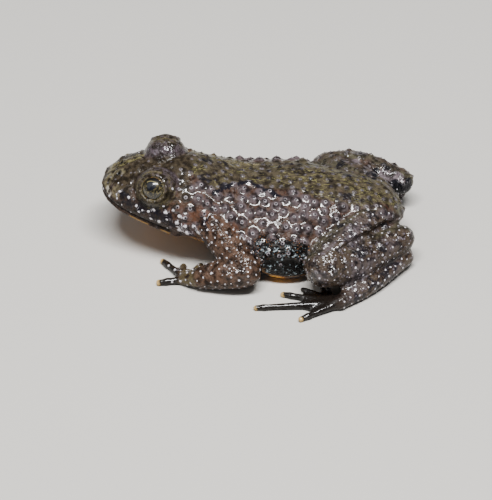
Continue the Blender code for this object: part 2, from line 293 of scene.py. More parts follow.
points = arrayOf(skinMesh, "co", skinMesh.vertices) / mm
normals = arrayOf(skinMesh, "vector", skinMesh.vertex_normals)
skinTree = treeOf(skinMesh)


def zones():
    # Which node each point of the skin came from
    owners = []
    places = []
    faces = []
    for name in fleshNodes:
        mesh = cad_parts[name].data
        first = len(places)
        places += [tuple(v.co / mm) for v in mesh.vertices]
        faces += [tuple(k + first for k in f.vertices) for f in mesh.polygons]
        owners += [plainName(name)] * len(mesh.polygons)
    tree = BVHTree.FromPolygons(places, faces)
    return np.array([owners[tree.find_nearest(point)[2]] for point in points])


edges = np.zeros(len(skinMesh.edges) * 2, int)
skinMesh.edges.foreach_get("vertices", edges)
edges = edges.reshape(-1, 2)


def soften(values, times):
    # Spreads a value over the skin, from each point to its neighbours
    count = len(points)
    joined = np.bincount(edges.ravel(), minlength=count)
    for turn in range(times):
        total = np.bincount(edges[:, 0], values[edges[:, 1]], count)
        total += np.bincount(edges[:, 1], values[edges[:, 0]], count)
        values = 0.5 * values + 0.5 * total / joined
    return values


zone = zones()
print("zones found")
isTrunk = soften(np.isin(zone, ("head", "torso")).astype(float), 3)
isHead = soften((zone == "head").astype(float), 6)
isArm = soften(np.isin(zone, ("upper_arm", "forearm")).astype(float), 3)
isLeg = soften(np.isin(zone, ("thigh", "shank")).astype(float), 3)
isDigit = soften(np.isin(zone, ("hand", "foot")).astype(float), 4)


def nearest(search):
    # For each point of the skin, which entry of a search tree is nearest, and how far
    found = [search.find(point) for point in points]
    return np.array([f[1] for f in found]), np.array([f[2] for f in found])


# Eyes: each one's centre in mm, the way that its socket faces and the way that it looks
headTurn = Matrix.Rotation(math.radians(toad["headTurn"]), 3, "Z")
neckPivot = Vector((toad["middle"], toad["neck"], 0))


def turnedWithHead(direction, mirror):
    return headTurn @ (Vector(direction).normalized() * Vector((mirror, 1, 1)))


eyes = {}
for side, mirror in (("left", 1), ("right", -1)):
    low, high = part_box("eye_" + side)
    eyes[side] = {
        "centre": (low + high) / 2 / mm,
        "socket": turnedWithHead(toad["socket"], mirror),
        "look": turnedWithHead(toad["gaze"], mirror),
    }

# Places marked on the photo, by pixel: x, y, and for patches and tubercles the reach in mm
marks = {
    "shoulderFold": ((214, 193), (221, 190), (229, 187), (239, 184), (249, 184), (264, 190), (280, 198)),
    "armFold": ((242, 239), (249, 241), (256, 246), (261, 251)),
    "thighFold": ((304, 254), (310, 249), (317, 242), (325, 233)),
    "rumpFold": ((379, 182), (385, 187), (391, 193)),
    "backEdge": (
        (186, 170), (203, 181), (214, 190), (229, 185), (249, 182), (264, 187), (290, 189), (315, 196),
        (340, 203), (362, 207), (385, 203),
    ),
    "crown": ((108, 172), (112, 167), (119, 162.5), (127, 159), (136, 155.5), (144, 153)),
    "crownLow": ((118, 167), (125, 163.5), (133, 160), (141, 157)),
    "backStreak": ((186, 148), (197, 152.5), (211, 153), (226, 160), (241, 163.5), (258, 164)),
    "nostril": ((118, 173.5),),
    "rust": (
        (173, 192, 0.9), (177, 209, 1.2), (190, 216, 1.7), (207, 216, 1.4), (168, 205, 0.7), (238, 228, 1.0),
    ),
    # Dark blotches and bars of the toad's own, and painted shade behind the jaw at (205, 243) and in the
    # armpit at (254, 252)
    "dark": (
        (204, 160, 0.6), (210, 161, 0.6), (225, 164, 0.6), (348, 196, 0.8), (360, 252, 1.0),
        (119.5, 173, 0.5), (125, 196, 0.8), (142, 207, 1.0), (155, 213, 1.2), (165, 217, 1.1),
        (175, 224, 0.7), (129, 203, 0.8), (205, 243, 1.2), (382, 248, 0.8), (331, 292, 0.8),
        (372, 214, 0.7), (205, 222, 0.7), (392, 262, 1.0), (384, 272, 0.9), (375, 285, 0.9),
        (358, 300, 0.8), (340, 226, 0.8), (384, 226, 0.7), (254, 252, 0.8),
    ),
    "heel": (
        (400, 190, 1.3), (407, 188, 1.1), (395, 184, 0.8), (409, 182, 0.7), (402, 194, 0.8),
        (375, 175, 0.6), (376, 171, 0.55), (374, 179, 0.5),
    ),
    # Lilac patches on the far leg: painted reflection, a lilac sheen on the wet skin
    "lilacSheenHere": (
        (384, 174, 0.8), (391, 177, 0.9), (398, 177, 0.8), (403, 179, 0.5), (368, 168, 0.6), (356, 161, 0.7),
    ),
    "oliveHere": ((398, 210, 0.8), (399, 217, 0.8), (397, 223, 0.7)),
    "flank": (
        (268, 252, 1.6), (278, 258, 2.1), (290, 262, 2.2), (301, 264, 1.8), (272, 266, 1.8), (290, 272, 2.0),
        (262, 244, 0.9), (276, 246, 1.0), (291, 249, 1.1), (303, 252, 0.9),
    ),
    "pale": ((107.5, 187.5, 0.32), (108.5, 190.5, 0.36), (110, 193.5, 0.3)),
    "snout": ((110, 176, 0.9), (107, 184, 0.8), (116, 192, 0.9), (114, 168, 0.8), (124, 162, 0.7)),
    "gloss": (
        (312, 277, 1.1), (318, 272, 1.3), (330, 268, 1.2), (343, 256, 1.3), (356, 250, 1.0), (345, 292, 1.2),
        (358, 288, 1.0), (233, 268, 1.2), (246, 270, 1.2), (255, 267, 1.0), (250, 241, 0.8), (162, 181, 0.8),
    ),
    "tubercles": (
        (177, 223, 0.34), (185, 226, 0.34), (194.2, 226, 0.36), (179.6, 229.3, 0.38),
        (186.9, 232.2, 0.42), (198, 232.2, 0.42), (184.2, 217.6, 0.22), (178.5, 216.5, 0.26),
        (165.8, 212.3, 0.32), (172.7, 210, 0.24), (159, 222, 0.32), (151, 218, 0.26),
        (153.6, 210.4, 0.26), (148.3, 211.5, 0.22), (142.9, 210, 0.18),
        (136.8, 205.4, 0.24), (138.5, 212, 0.20), (129, 197, 0.26),
        (120, 191.6, 0.24), (116.4, 194.5, 0.16), (117.2, 198.5, 0.18), (118, 205, 0.16), (122, 204.6, 0.14),
        (130.6, 183, 0.15), (118, 183, 0.12), (167, 220, 0.20), (163, 206, 0.20), (131, 212, 0.14),
        (169, 265.5, 0.22), (175, 270, 0.24), (172, 282, 0.22), (180, 281, 0.22), (187, 273, 0.20),
    ),
    "lipStreaks": (((133, 216), (139, 219), (145, 222)), ((164, 231), (170, 233.5))),
}


def mirrored(place):
    # The same spot on the toad's other side, the head's by its own turned midline
    other = place.copy()
    if place.y > toad["neck"]:
        other.x = 2 * toad["middle"] - other.x
        return other
    other = headTurn.inverted() @ (other - neckPivot)
    other.x = -other.x
    return headTurn @ other + neckPivot


def onSkin(pixels, bothSides=True):
    # Marked pixels as points on the skin, with their mirror images on the other side
    found = [pointSeen(camera, skinTree, pixel[:2]) for pixel in pixels]
    return [found, [skinTree.find_nearest(mirrored(place))[0] for place in found]][: 1 + bothSides]


def lineAway(pixels, bothSides=True):
    # How far each point of the skin is from a marked line or its mirror image
    places = []
    for row in onSkin(pixels, bothSides):
        for one, two in zip(row, row[1:]):
            places += [skinTree.find_nearest(one.lerp(two, part))[0] for part in np.linspace(0, 1, 12)]
    return nearest(searchOf(places))[1]


def patches(marked, bothSides=True):
    total = np.zeros(len(points))
    for row in onSkin(marked, bothSides):
        for place, mark in zip(row, marked):
            away = np.linalg.norm(points - np.array(place), axis=1) / mark[2]
            total = np.maximum(total, np.exp(-away * away * 0.7))
    return total


def scatter(chosen, spacing, first=()):
    # Picks points in a random order, no nearer to one another than their spacing, after the first ones
    cell = float(spacing.max())
    grid = {}
    kept = []
    for turn, index in enumerate([*first, *rng.permutation(chosen)]):
        x, y, z = points[index]
        key = (int(x // cell), int(y // cell), int(z // cell))
        reach = spacing[index] if turn >= len(first) else 0.3
        near = [other for a in (-1, 0, 1) for b in (-1, 0, 1) for c in (-1, 0, 1)
                for other in grid.get((key[0] + a, key[1] + b, key[2] + c), ())]
        if any((x - p) ** 2 + (y - q) ** 2 + (z - r) ** 2 < reach * reach for p, q, r in near):
            continue
        grid.setdefault(key, []).append((x, y, z))
        kept.append(int(index))
    return kept


# Warts: cobbles with a horny tip on the flanks, smaller ones elsewhere. Each kind's row is: nearest and
# farthest spacing, radius, and height, in mm
wartSettings = {
    "flank": (1.35, 1.95, 0.85, 0.36),
    "back": (1.15, 1.65, 0.42, 0.15),
    "head": (1.25, 1.9, 0.34, 0.07),
    "leg": (1.6, 2.4, 0.50, 0.15),
    "arm": (1.8, 2.6, 0.35, 0.08),
}
# Pale tubercles on the limbs and cheeks, in mm: the nearest and farthest spacing, the least and most
# radius, the height, and how far they stay from warts and eyeballs
dotSettings = {
    "spacing": (0.82, 1.1),
    "size": (0.13, 0.22),
    "height": 0.09,
    "fromWarts": 0.5,
    "fromEyes": 0.6,
}

height = np.zeros(len(points))
up = normals[:, 2]
x, y, z = points.T
lowFlank = ease(-z, -5.0, -3.2) * isTrunk * (1 - isHead)
underside = ease(-up, 0.15, 0.55) * isTrunk
edgePlaces = onSkin(marks["backEdge"], False)[0]
backEdge = np.interp(y, [p.y for p in edgePlaces], [p.x - toad["middle"] for p in edgePlaces])
# The olive of the back reaches farther out on the far side, in mm
fartherOut = 4.2
fromMiddle = np.where(x > toad["middle"], x - toad["middle"], toad["middle"] - x - fartherOut)
backShare = ease(backEdge - fromMiddle, -0.5, 0.4) * ease(up, 0.1, 0.4) * ease(z, 5, 7)
face = isHead * ease(-y, 12.0, 13.5)
kinds = {
    "flank": (1 - backShare) * isTrunk * (1 - face),
    "back": backShare * isTrunk * (1 - face),
    "head": face,
    "leg": isLeg,
    "arm": np.clip(isArm + isDigit, 0, 1),
}
# Fingers and toes, without the palm and the long heel
fingers = ease(-y, 10.9, 12.4)
toes = ease(-y, -16.0, -10.5) * ease(y, -3, 0)
digits = isDigit * np.maximum(fingers, toes)
limbEnds = isDigit * (1 - digits)


def wartValue(column):
    # One column of the warts' table, mixed by how much each point belongs to each kind
    total = sum(kinds.values()) + 1e-6
    return sum(part * wartSettings[kind][column] for kind, part in kinds.items()) / total


def awayFromEyes(gap):
    # Which points of the skin are farther than a gap from both eyeballs
    away = [np.linalg.norm(points - np.array(eye["centre"]), axis=1) for eye in eyes.values()]
    return np.minimum(*away) > toad["eyeRadius"] + gap


def growWarts():
    search = searchOf([Vector(point) for point in points])
    first = [search.find(tip)[1] for tip in tips]
    ground = (isTrunk > 0.6) & (up > -0.15) & (lowFlank < 0.5)
    ground |= (isLeg > 0.7) & (up > 0.1)
    ground &= awayFromEyes(1.3)
    nearestSpacing = wartValue(0)
    spacing = nearestSpacing + rng.random(len(points)) * (wartValue(1) - nearestSpacing)
    kept = scatter(np.flatnonzero(ground), spacing, first)
    share = rng.random(len(kept))
    share[: len(first)] = 0.7 + 0.3 * share[: len(first)]
    return kept, wartValue(2)[kept] * (0.8 + 0.35 * share), wartValue(3)[kept] * (0.75 + 0.5 * share)


def growDots(wartPlaces):
    s = dotSettings
    ground = (isArm > 0.5) | (isLeg > 0.5) | (limbEnds > 0.5) | ((isHead > 0.6) & (up < 0.45))
    ground &= (up > -0.75) & (underside < 0.7) & (z > 0.5) & ((mouthBelow < -0.3) | (isHead < 0.5))
    ground &= nearest(searchOf(wartPlaces))[1] > s["fromWarts"]
    ground &= awayFromEyes(s["fromEyes"])
    search = searchOf([Vector(point) for point in points])
    first = [search.find(place)[1] for row in onSkin(marks["tubercles"]) for place in row]
    low, high = s["spacing"]
    spacing = low + rng.random(len(points)) * (high - low)
    spacing += 0.55 * isHead + rng.random(len(points)) * 0.7 * isLeg
    kept = scatter(np.flatnonzero(ground), spacing, first)
    low, high = s["size"]
    size = low + rng.random(len(kept)) ** 1.5 * (high - low)
    size *= 1 + 0.05 * isHead[kept] - 0.1 * isLeg[kept]
    marked = [mark[2] for mark in marks["tubercles"]] * 2
    chosen = [marked[first.index(index)] if index in first else None for index in kept]
    size = np.where([c is None for c in chosen], size, [c or 0 for c in chosen])
    return kept, size


# Mouth: a groove along the jaw, given as places along the head and their heights, with the head straight
mouthLine = ((-22.05, 9.8), (-21.4, 9.6), (-19.6, 9.1), (-16.6, 8.4), (-12.9, 7.4), (-11.2, 7.0))
turnBack = np.array(headTurn)
straight = (points - np.array(neckPivot)) @ turnBack
along = straight[:, 1] + toad["neck"] - toad["aim"][1]
mouthHeight = np.interp(along, [p for p, h in mouthLine], [h for p, h in mouthLine])
mouthBelow = (mouthHeight - straight[:, 2]) * 0.93
pastCorner = np.maximum(along - mouthLine[-1][0], 0) + 3 * (1 - isHead)
mouthAway = np.hypot(mouthBelow, pastCorner)

wartPoints, wartSizes, wartLifts = growWarts()
print("warts:", len(wartPoints))
wartPlaces = points[wartPoints]
wartSearch = searchOf(wartPlaces)
found = [[(f[1], f[2]) for f in wartSearch.find_n(point, 3)] for point in points]
whichWarts = np.array([[f[0] for f in row] for row in found])
wartParts = np.array([[f[1] for f in row] for row in found]) / wartSizes[whichWarts]
lifts = wartLifts[whichWarts] * np.clip(1 - wartParts**2, 0, 1) ** 1.2
wartHeight = soften(lifts.max(axis=1), 1)
height += wartHeight
best = wartParts.argmin(axis=1)
rows = np.arange(len(points))
whichWart = whichWarts[rows, best]
wartPart = wartParts[rows, best]

dotPoints, dotSizes = growDots(wartPlaces)
print("pale tubercles:", len(dotPoints))
whichDot, dotAway = nearest(searchOf(points[dotPoints]))
dotPart = dotAway / dotSizes[whichDot]
height += dotSettings["height"] * np.clip(1.2 - dotPart**2, 0, 1)

# Folds: swollen ridges. Each one's row is its rise and half its width, in mm
foldSettings = {
    "shoulderFold": (0.28, 0.55),
    "armFold": (0.30, 0.45),
    "thighFold": (0.30, 0.45),
    "rumpFold": (0.15, 0.4),
}
folds = {name: lineAway(marks[name]) for name in foldSettings}
# The far shoulder's fold is weaker than the near one
nearFold = lineAway(marks["shoulderFold"], False)
folds["shoulderFold"] = np.minimum(nearFold, folds["shoulderFold"] + 0.35)
for name, (rise, width) in foldSettings.items():
    height += rise * bell(folds[name], width)
print("folds drawn")

# The mouth's groove on smoothed lips, and each nostril's pit with a rim round it. The rows are depth
# or rise and half-width in mm, after the share of the relief that goes or the place of the rim
cutSettings = {"lips": (0.8, 0.3), "mouth": (0.22, 0.17), "nostril": (0.5, 0.28), "rim": (0.6, 0.12, 0.2)}
height *= 1 - cutSettings["lips"][0] * bell(mouthAway, cutSettings["lips"][1])
height -= cutSettings["mouth"][0] * bell(mouthAway, cutSettings["mouth"][1])
nostrilAway = nearest(searchOf([place for row in onSkin(marks["nostril"]) for place in row]))[1]
height -= cutSettings["nostril"][0] * bell(nostrilAway, cutSettings["nostril"][1])
rimPlace, rimRise, rimWidth = cutSettings["rim"]
height += rimRise * bell(nostrilAway - rimPlace, rimWidth)
print("mouth and nostrils cut")

# Lids: the skin closes on the eyeballs, where the solids keep their gap. Each eye's dome has two
# ridges round the lids, each with its place and rise, and a groove where it rises from the head, in mm
lidSettings = {
    "domeRadius": 3.35,
    "domeDepth": 1.05,
    "ridges": ((2.2, 0.2), (2.9, 0.14)),
    "ridgeWidth": 0.22,
    "groove": 0.3,
    "grooveAway": 0.35,
    "grooveWidth": 0.3,
    "lowerLid": (2.55, 0.35),
    "closer": 0.31,
}
dome = np.zeros(len(points))
innerDome = np.zeros(len(points))
lidAway = np.full(len(points), 9.0)
lowerLid = np.zeros(len(points))
for eye in eyes.values():
    s = lidSettings
    away = points - np.array(eye["centre"])
    reach = np.linalg.norm(away, axis=1)
    along = away @ np.array(eye["socket"])
    across = np.sqrt(np.maximum(reach**2 - along**2, 0))
    fromDome = np.linalg.norm(away + np.array(eye["socket"]) * s["domeDepth"], axis=1)
    outside = isHead * ease(along, -2.5, -1.0)
    height *= ease(reach, 2.5, 3.1)
    for place, rise in s["ridges"]:
        ridge = rise * bell(across - place, s["ridgeWidth"])
        height += ridge * ease(along, 0.3, 1.0) * ease(reach, 2.5, 2.7)
    groove = s["groove"] * bell(fromDome - s["domeRadius"] - s["grooveAway"], s["grooveWidth"])
    height -= groove * isHead * ease(z, 9.5, 11)
    onDome = (1 - ease(fromDome, 3.4, 3.7)) * isHead * outside
    dome = np.maximum(dome, onDome)
    innerDome = np.maximum(innerDome, onDome * (1 - ease(along, -0.9, 0.1)))
    lidAway = np.where(along > 0, np.minimum(lidAway, across), lidAway)
    below = ease(-away[:, 2] / reach, 0.35, 0.75) * ease(along, 0.2, 0.8)
    place, width = s["lowerLid"]
    lowerLid = np.maximum(lowerLid, below * bell(across - place, width))
    closer = s["closer"] * (1 - ease(reach, 2.5, 2.75)) * (reach < 3.0)
    points -= away / reach[:, None] * closer[:, None]


def tipDistance():
    # How far each point is from the tip of a finger or toe: no point of the same digit reaches farther
    total = np.full(len(points), 9.0)
    for name in fleshNodes:
        if not name.startswith(("hand", "foot")):
            continue
        low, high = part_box(name)
        low = np.array(low) / mm - 0.2
        high = np.array(high) / mm + 0.2
        inside = np.flatnonzero(((points > low) & (points < high)).all(axis=1) & (digits > 0.9) & (z < 1.3))
        low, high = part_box(name.replace("hand", "forearm").replace("foot", "shank"))
        far = np.linalg.norm(points[inside] - np.array((low + high) / 2 / mm), axis=1)
        for k in range(0, len(inside), 3):
            away = np.linalg.norm(points[inside] - points[inside[k]], axis=1)
            if far[k] >= far[away < 1.3].max() - 0.12 and far[k] > np.median(far):
                total[inside] = np.minimum(total[inside], away)
    return total


# Fingers and toes: a pad at the tip, a knuckle behind it, and thinner between them, in mm
digitSettings = {"pad": 0.45, "knuckleAt": 1.5, "knuckle": 0.4, "swell": 0.09, "thinner": 0.05}
tipAway = tipDistance()
knuckles = bell(tipAway, digitSettings["pad"])
knuckles += bell(tipAway - digitSettings["knuckleAt"], digitSettings["knuckle"])
height += digits * (digitSettings["swell"] * knuckles - digitSettings["thinner"])
places = points + normals * height[:, None]
places[:, 2] = np.maximum(places[:, 2], 0.0)
skinMesh.vertices.foreach_set("co", (places * mm).ravel())
skinMesh.update()

painted = []


def paint(name, values):
    # Keeps a value, or a place in mm, on each point of the skin for its material
    vector = np.ndim(values) == 2
    attribute = skinMesh.attributes.new(name, "FLOAT_VECTOR" if vector else "FLOAT", "POINT")
    attribute.data.foreach_set("vector" if vector else "value", np.asarray(values, np.float32).ravel())
    if not vector:
        painted.append(name)


paint("wartCentre", places[wartPoints][whichWart])
tippedSkin = np.clip(kinds["flank"] + 0.6 * isLeg - lowFlank, 0, 1)
paint("wartNear", np.clip(2.2 - 2.6 * wartPart, 0, 1) * tippedSkin)
paint("wartPart", np.clip(wartPart, 0, 2))
paint("dotCentre", places[dotPoints][whichDot])
paint("dotSize", dotSizes[whichDot])
farLeg = isLeg * (x < toad["middle"])
inward = np.where(x < toad["middle"], normals[:, 0], -normals[:, 0])
innerLeg = isLeg * ease(inward, -0.35, 0.1)
paint("dotNear", np.clip(2.4 - dotPart, 0, 1) * (1 - 0.8 * ease(up, 0.3, 0.6) * farLeg))
# Water stands in the valleys between the flank's warts, on the limbs and along the folds, less where
# the skin faces down. Each share adds to the plain skin's, and a fold's row is its share and half-width
wetSettings = {
    "plain": 0.12,
    "flank": 0.03,
    "valley": 0.8,
    "leg": 0.5,
    "arm": -0.04,
    "handAndFoot": 0.6,
    "farDome": 0.4,
    "lowFlank": -0.2,
    "folds": {"shoulderFold": (0.5, 0.7), "armFold": (0.4, 0.5), "thighFold": (0.4, 0.5)},
    "gloss": 0.8,
}
s = wetSettings
valley = ease(wartPart, 0.55, 0.8) * (1 - ease(wartPart, 1.05, 1.35))
wetness = s["plain"] + kinds["flank"] * (s["flank"] + s["valley"] * valley) * (1 - lowFlank)
wetness += s["leg"] * isLeg + s["arm"] * isArm + s["handAndFoot"] * (digits + limbEnds)
wetness += s["farDome"] * dome * (x < toad["middle"]) + s["lowFlank"] * lowFlank
for name, (share, width) in s["folds"].items():
    wetness += share * bell(folds[name], width)
wetness *= (0.1 + 0.9 * ease(up, 0.1, 0.6)) * (1 - 0.7 * ease(-lidAway, -2.3, -2.0))
gloss = patches(marks["gloss"])
paint("wet", np.clip(np.maximum(wetness, s["gloss"] * gloss), 0.02, 1))
paint("granular", 0.05 * isLeg + 0.03 * isArm + 0.04 * dome + 0.02 * gloss + 0.06 * lowFlank)
paint("lidTop", dome * ease(y, -21, -15) * ease(up, 0.2, 0.6))
paint("back", kinds["back"])
paint("farBack", kinds["back"] * ease(toad["middle"] - x, 4.0, 5.5))
paint("flankWarts", kinds["flank"])
paint("olive", np.clip(innerLeg + patches(marks["oliveHere"], False), 0, 1))
paint("rust", patches(marks["rust"]))
paint("arm", np.clip(isArm + limbEnds * (y < 0), 0, 1))
paint("wrist", limbEnds * (y < 0))
paint("face", face)
paint("cheek", isHead * ease(-up, -0.35, -0.05))
paint("leg", np.clip(isLeg - innerLeg + limbEnds * (y > 0), 0, 1))
# Dark blotches of the toad's own, with painted shade behind the jaw and in the armpit
paint("dark", patches(marks["dark"]))
paint("heel", patches(marks["heel"], False))
# Painted reflection: where the far leg carries a lilac sheen
paint("lilac", patches(marks["lilacSheenHere"], False))
paint("snout", patches(marks["snout"]))
paint("foldAway", np.minimum(nearFold, folds["shoulderFold"] + 0.15))
paint("flank", np.clip(lowFlank + patches(marks["flank"]), 0, 1))
paint("crownSkin", isHead * ease(up, 0.45, 0.8) * ease(z, 8, 10))
throat = ease(-up, 0.75, 0.95) * ease(-y, 8, 10) * isTrunk
belly = underside * ease(-z, -9, -5) * ease(y, -11, -8)
lowest = ease(-z, -1.2, -0.7) * isTrunk
paint("belly", np.clip(belly + throat + lowest, 0, 1))
paint("dome", dome)
paint("innerDome", innerDome)
paint("lidAway", lidAway)
paint("lowerLid", lowerLid)
paint("pale", patches(marks["pale"]))
paint("mouthAway", mouthAway)
paint("mouthBelow", np.where(pastCorner < 0.3, mouthBelow, 9.0))
paint("nostrilAway", nostrilAway)
paint("crownAway", np.minimum(lineAway(marks["crown"], False), lineAway(marks["crownLow"], False)))
paint("backStreakAway", lineAway(marks["backStreak"], False))
streakAway = np.minimum(*[lineAway(line) for line in marks["lipStreaks"]])
paint("lipStreak", bell(streakAway, 0.8))
paint("digit", digits)
paint("digitTip", bell(tipAway, 0.55))
print("markings painted")

# Patterns that the skin's layers follow: name, kind of node, its settings, and what its sockets read.
# Blotches are about 5 mm across, mottling near 1 mm, flecks and grains 0.3 to 0.7 mm, and streaks 2 mm
# long. A name that comes again is reworked from what it was
skinPatterns = (
    ("blotch", "TexNoise", {"Scale": 0.22, "Detail": 3.0}, {"Vector": "place"}),
    ("mottle", "TexNoise", {"Scale": 1.1, "Detail": 4.0}, {"Vector": "place"}),
    ("fleck", "TexNoise", {"Scale": 1.5, "Detail": 3.0, "Roughness": 0.7}, {"Vector": "place"}),
    ("fine", "TexNoise", {"Scale": 4.5, "Detail": 1.0}, {"Vector": "place"}),
    ("grain", "TexVoronoi", {"Scale": 3.0}, {"Vector": "place"}),
    ("speck", "TexVoronoi", {"Scale": 1.2}, {"Vector": "place"}),
    ("speck", "MapRange", {1: 0.3, 2: 0.14}, {0: "speck"}),
    ("fineSpeck", "TexVoronoi", {"Scale": 1.5}, {"Vector": "place"}),
    ("fineSpeck", "MapRange", {1: 0.3, 2: 0.15}, {0: "fineSpeck"}),
    ("swell", "TexNoise", {"Scale": 2.2, "Detail": 1.0}, {"Vector": "place"}),
    ("lengthwise", "Mapping", {"Scale": (1.3, 0.28, 1.3)}, {"Vector": "place"}),
    ("streak", "TexNoise", {"Scale": 1.5, "Detail": 2.0}, {"Vector": "lengthwise"}),
    ("streak", "Math", {"operation": "SUBTRACT", 1: 0.5}, {0: "streak"}),
    ("streak", "Math", {"operation": "ABSOLUTE"}, {0: "streak"}),
    ("lowEdge", "Math", {"operation": "ADD"}, {0: "fine", 1: "flank"}),
    ("lowEdge", "Math", {"operation": "MULTIPLY_ADD", 1: 1.6}, {0: "fleck", 2: "lowEdge"}),
    ("brokenDarkAndShade", "Math", {"operation": "MULTIPLY_ADD", 1: 3.0}, {0: "fleck", 2: "dark"}),
    ("scallop", "Math", {"operation": "MULTIPLY_ADD", 1: 1.8}, {0: "mottle", 2: "foldAway"}),
    ("rim", "Math", {"operation": "MULTIPLY_ADD", 1: 0.5}, {0: "mottle", 2: "lidAway"}),
    ("rim", "Math", {"operation": "SUBTRACT", 1: 2.2}, {0: "rim"}),
    ("rim", "Math", {"operation": "PINGPONG", 1: 0.31}, {0: "rim"}),
    ("dotEdge", "Math", {"operation": "DIVIDE"}, {0: "dotAway", 1: "dotSize"}),
    ("dotEdge", "Math", {"operation": "MULTIPLY_ADD", 1: 0.8}, {0: "fleck", 2: "dotEdge"}),
    ("dotEdge", "Math", {"operation": "MULTIPLY_ADD", 1: 1.4}, {0: "fine", 2: "dotEdge"}),
    ("dot", "MapRange", {1: 2.3, 2: 1.7}, {0: "dotEdge"}),
    ("dot", "Math", {"operation": "MULTIPLY"}, {0: "dot", 1: "dotNear"}),
    # A pale ring round each wart's black tip: a raised ring in the film's bump, and the same ring painted
    # pale as a painted highlight, broken up by flecks
    ("ring", "MapRange", {1: 0.33, 2: 0.25}, {0: "wartAway"}),
    ("ring", "Math", {"operation": "MULTIPLY"}, {0: "ring", 1: "wartNear"}),
    ("brokenRingGlint", "MapRange", {1: 0.4, 2: 0.62}, {0: "fleck"}),
    # Heights in mm: the water film follows rings, dots and soft swellings, the skin has grains too
    ("film", "Math", {"operation": "MULTIPLY", 1: 0.05}, {0: "swell"}),
    ("granular", "Math", {"operation": "MULTIPLY"}, {0: "grain", 1: "granular"}),
    ("film", "Math", {"operation": "ADD"}, {0: "film", 1: "granular"}),
    ("film", "Math", {"operation": "MULTIPLY_ADD", 1: 0.04}, {0: "ring", 2: "film"}),
    ("film", "Math", {"operation": "MULTIPLY_ADD", 1: 0.03}, {0: "dot", 2: "film"}),
    ("relief", "Math", {"operation": "MULTIPLY_ADD", 1: 0.08}, {0: "grain", 2: "film"}),
    ("relief", "Math", {"operation": "MULTIPLY_ADD", 1: 0.08}, {0: "mottle", 2: "relief"}),
    ("coatNormal", "Bump", {"Strength": 1.0, "Distance": mm}, {"Height": "film"}),
    ("skinNormal", "Bump", {"Strength": 1.0, "Distance": mm}, {"Height": "relief"}),
    ("roughness", "MapRange", {1: 0.7, 2: 1.15, 3: 0.5, 4: 0.3}, {0: "wartPart"}),
    ("spread", "MapRange", {1: 0.4, 2: 0.6}, {0: "mottle"}),
)

